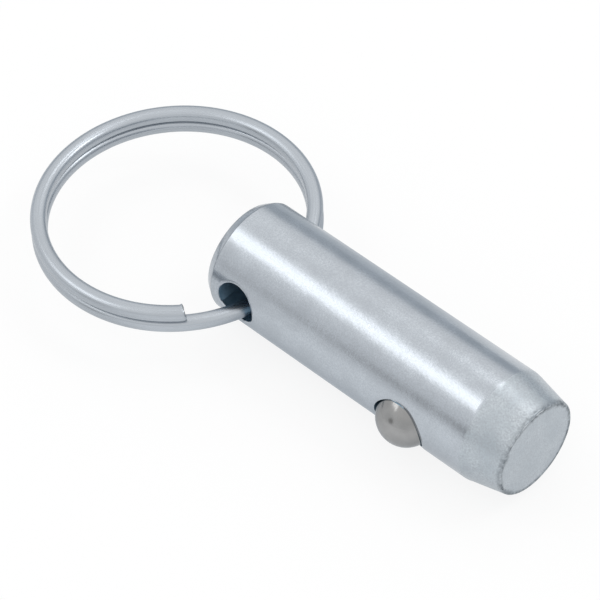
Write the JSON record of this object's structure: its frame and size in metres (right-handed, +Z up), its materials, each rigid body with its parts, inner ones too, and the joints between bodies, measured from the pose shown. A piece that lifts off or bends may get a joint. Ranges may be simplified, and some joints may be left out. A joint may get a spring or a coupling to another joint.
{
  "type": "detent pin",
  "caption": "Solid detent ring pin: straight steel shank with a tapered tip, a sprung ball near the tip and a split ring through a cross-hole at the back.",
  "frame": {"origin": "centre of the shank's back face, on the shank's axis", "axes": "+X along the shank towards its tip, +Y along the ring's hole away from the ball, +Z up from the surface that the pin lies on"},
  "size_m": [0.0646, 0.031, 0.0126],
  "materials": {
    "zinc_plated_steel": "bright zinc plate, satin",
    "polished_steel": "polished",
    "spring_steel": "drawn wire",
    "zinc_plated_wire": "bright zinc plate over drawn wire"
  },
  "bodies": {
    "pin": {"pin_body": "zinc_plated_steel", "detent_spring": "spring_steel"},
    "ball": {"detent_ball": "polished_steel"},
    "ring": {"split_ring": "zinc_plated_wire"}
  },
  "joints": [
    {"name": "detent_slide", "type": "slide", "parent": "pin", "child": "ball", "axis": [0, 0.9736, 0.2284], "range_m": [0, 0.00172], "stiffness_N_per_m": 3000, "springref_m": -0.0015, "deforming": ["detent_spring"]},
    {"name": "ring_swing", "type": "hinge", "parent": "pin", "child": "ring", "pos_m": [0.0044, 0, 0], "axis": [0, 1, 0], "range_deg": [-162.3, 163.7]}
  ]
}
